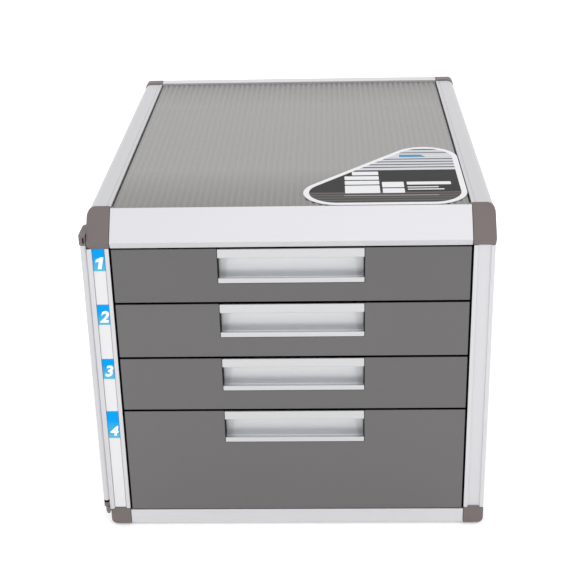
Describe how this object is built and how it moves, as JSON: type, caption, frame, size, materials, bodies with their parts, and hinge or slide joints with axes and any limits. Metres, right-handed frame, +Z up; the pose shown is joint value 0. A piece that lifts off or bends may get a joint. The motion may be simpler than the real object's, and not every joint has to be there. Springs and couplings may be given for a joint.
{
  "type": "filing cabinet",
  "caption": "Desktop filing cabinet with an aluminium frame, shallow and deep sliding drawers with recessed pulls, and a corner-hinged bar that swings across to hold the drawers shut.",
  "frame": {"origin": "on the ground under the middle of the cabinet with its swing bar", "axes": "+Z up, +Y from the drawers' fronts to the back, +X to the right seen from the front"},
  "size_m": [0.3098, 0.3758, 0.2746],
  "materials": {
    "light_aluminium": "satin silver anodised extrusion",
    "panel_metal": "satin warm grey",
    "warm_plastic": "fine matt, warm grey-brown",
    "dark_paint": "satin dark grey",
    "steel_sheet": "satin charcoal",
    "black_plastic": "matt black",
    "rubber": "matt black",
    "blue_label": "printed film",
    "dark_label": "printed film"
  },
  "bodies": {
    "cabinet": {"back_panel": "steel_sheet", "bottom_panel": "steel_sheet", "front_bottom_rail": "light_aluminium", "front_left_bottom_cap": "warm_plastic", "front_left_foot": "rubber", "front_left_post": "light_aluminium", "front_left_top_cap": "warm_plastic", "front_right_bottom_cap": "warm_plastic", "front_right_foot": "rubber", "front_right_post": "light_aluminium", "front_right_top_cap": "warm_plastic", "front_top_rail": "light_aluminium", "index_label_1": "blue_label", "index_label_2": "blue_label", "index_label_3": "blue_label", "index_label_4": "blue_label", "left_bottom_rail": "light_aluminium", "left_runner_frame": "steel_sheet", "left_side_panel": "panel_metal", "left_top_rail": "light_aluminium", "lower_hinge_bracket": "warm_plastic", "rear_bottom_rail": "light_aluminium", "rear_left_bottom_cap": "warm_plastic", "rear_left_foot": "rubber", "rear_left_post": "light_aluminium", "rear_left_top_cap": "warm_plastic", "rear_right_bottom_cap": "warm_plastic", "rear_right_foot": "rubber", "rear_right_post": "light_aluminium", "rear_right_top_cap": "warm_plastic", "rear_top_rail": "light_aluminium", "right_bottom_rail": "light_aluminium", "right_runner_frame": "steel_sheet", "right_side_panel": "panel_metal", "right_top_rail": "light_aluminium", "top_label": "dark_label", "top_panel": "panel_metal", "upper_hinge_bracket": "warm_plastic"},
    "swing_bar": {"swing_bar": "light_aluminium", "swing_bar_end_cap": "warm_plastic"},
    "drawer_1": {"drawer_1_front": "dark_paint", "drawer_1_handle": "light_aluminium", "drawer_1_handle_left_end": "black_plastic", "drawer_1_handle_right_end": "black_plastic", "drawer_1_tray": "steel_sheet"},
    "drawer_2": {"drawer_2_front": "dark_paint", "drawer_2_handle": "light_aluminium", "drawer_2_handle_left_end": "black_plastic", "drawer_2_handle_right_end": "black_plastic", "drawer_2_tray": "steel_sheet"},
    "drawer_3": {"drawer_3_front": "dark_paint", "drawer_3_handle": "light_aluminium", "drawer_3_handle_left_end": "black_plastic", "drawer_3_handle_right_end": "black_plastic", "drawer_3_tray": "steel_sheet"},
    "drawer_4": {"drawer_4_front": "dark_paint", "drawer_4_handle": "light_aluminium", "drawer_4_handle_left_end": "black_plastic", "drawer_4_handle_right_end": "black_plastic", "drawer_4_tray": "steel_sheet"}
  },
  "joints": [
    {"name": "drawer_1_slide", "type": "slide", "parent": "cabinet", "child": "drawer_1", "axis": [0, -1, 0], "range_m": [0, 0.24]},
    {"name": "drawer_2_slide", "type": "slide", "parent": "cabinet", "child": "drawer_2", "axis": [0, -1, 0], "range_m": [0, 0.24]},
    {"name": "drawer_3_slide", "type": "slide", "parent": "cabinet", "child": "drawer_3", "axis": [0, -1, 0], "range_m": [0, 0.24]},
    {"name": "drawer_4_slide", "type": "slide", "parent": "cabinet", "child": "drawer_4", "axis": [0, -1, 0], "range_m": [0, 0.24]},
    {"name": "swing_bar_hinge", "type": "hinge", "parent": "cabinet", "child": "swing_bar", "pos_m": [-0.152, -0.1851, 0.026], "axis": [0, 0, -1], "range_deg": [-270, 0]}
  ]
}
